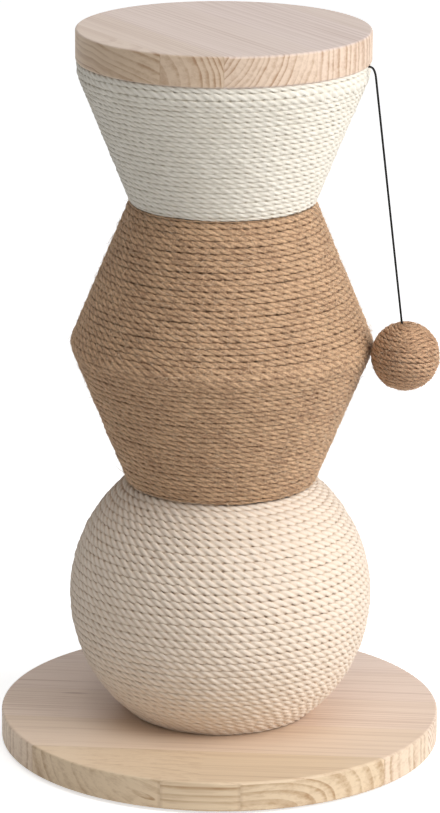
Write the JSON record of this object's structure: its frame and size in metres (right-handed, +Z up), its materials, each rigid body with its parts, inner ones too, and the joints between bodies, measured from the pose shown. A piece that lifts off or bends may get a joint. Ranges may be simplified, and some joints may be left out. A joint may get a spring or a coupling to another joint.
{
  "type": "cat scratching post",
  "caption": "Stacked cat scratching post: rope-wrapped ball, double cone and flared collar between round pine boards, with a jute toy ball on an elastic cord.",
  "frame": {"origin": "centre of the plane that the base pads stand on, on the post's axis", "axes": "+Z up along the post; the toy hangs 13 degrees from +X towards -Y"},
  "size_m": [0.3, 0.3, 0.4953],
  "materials": {
    "pine": "sanded pine, clear matt finish",
    "plywood": "raw",
    "toy_core_wood": "turned, raw",
    "card": "rolled card",
    "shell_plastic": "moulded",
    "cotton_rope": "twisted three-strand rope",
    "jute_rope": "twisted hairy jute",
    "white_rope": "soft twisted rope",
    "elastic": "round braided elastic",
    "felt": "pressed felt",
    "steel": "zinc plated"
  },
  "bodies": {
    "post": {"base_board": "pine", "top_board": "pine", "base_pads": "felt", "base_washer": "steel", "base_bolt": "steel", "insert_nuts": "steel", "joining_studs": "steel", "board_insert": "steel", "ball_rope_wrap": "cotton_rope", "ball_lower_shell": "shell_plastic", "ball_upper_shell": "shell_plastic", "ball_lower_disc": "plywood", "ball_upper_disc": "plywood", "jute_rope_wrap": "jute_rope", "cone_lower_shell": "card", "cone_upper_shell": "card", "cone_waist_disc": "plywood", "cone_lower_disc": "plywood", "cone_upper_disc": "plywood", "white_rope_wrap": "white_rope", "collar_shell": "card", "collar_lower_disc": "plywood", "collar_upper_disc": "plywood", "toy_cord_root": "elastic"},
    "cord_elbow": {"toy_cord_elbow": "elastic"},
    "hanging_cord": {"toy_cord": "elastic"},
    "cord_end": {"toy_cord_knot": "elastic"},
    "toy_ball": {"toy_ball_core": "toy_core_wood", "toy_ball_wrap": "jute_rope"}
  },
  "joints": [
    {"name": "toy_swing_side", "type": "hinge", "parent": "post", "child": "cord_elbow", "pos_m": [0.09588, -0.02213, 0.47515], "axis": [0.9744, -0.225, 0], "range_deg": [-75, 75]},
    {"name": "toy_swing_out", "type": "hinge", "parent": "cord_elbow", "child": "hanging_cord", "pos_m": [0.0992, -0.0229, 0.47146], "axis": [-0.225, -0.9744, 0], "range_deg": [0, 80]},
    {"name": "toy_cord_stretch", "type": "slide", "parent": "hanging_cord", "child": "cord_end", "axis": [0.1191, -0.0275, -0.9925], "range_m": [0, 0.04], "stiffness_N_per_m": 16, "springref_m": -0.02, "deforming": ["toy_cord"]},
    {"name": "toy_ball_spin", "type": "hinge", "parent": "cord_end", "child": "toy_ball", "pos_m": [0.12219, -0.02821, 0.2798], "axis": [0.1191, -0.0275, -0.9925], "continuous": true}
  ]
}
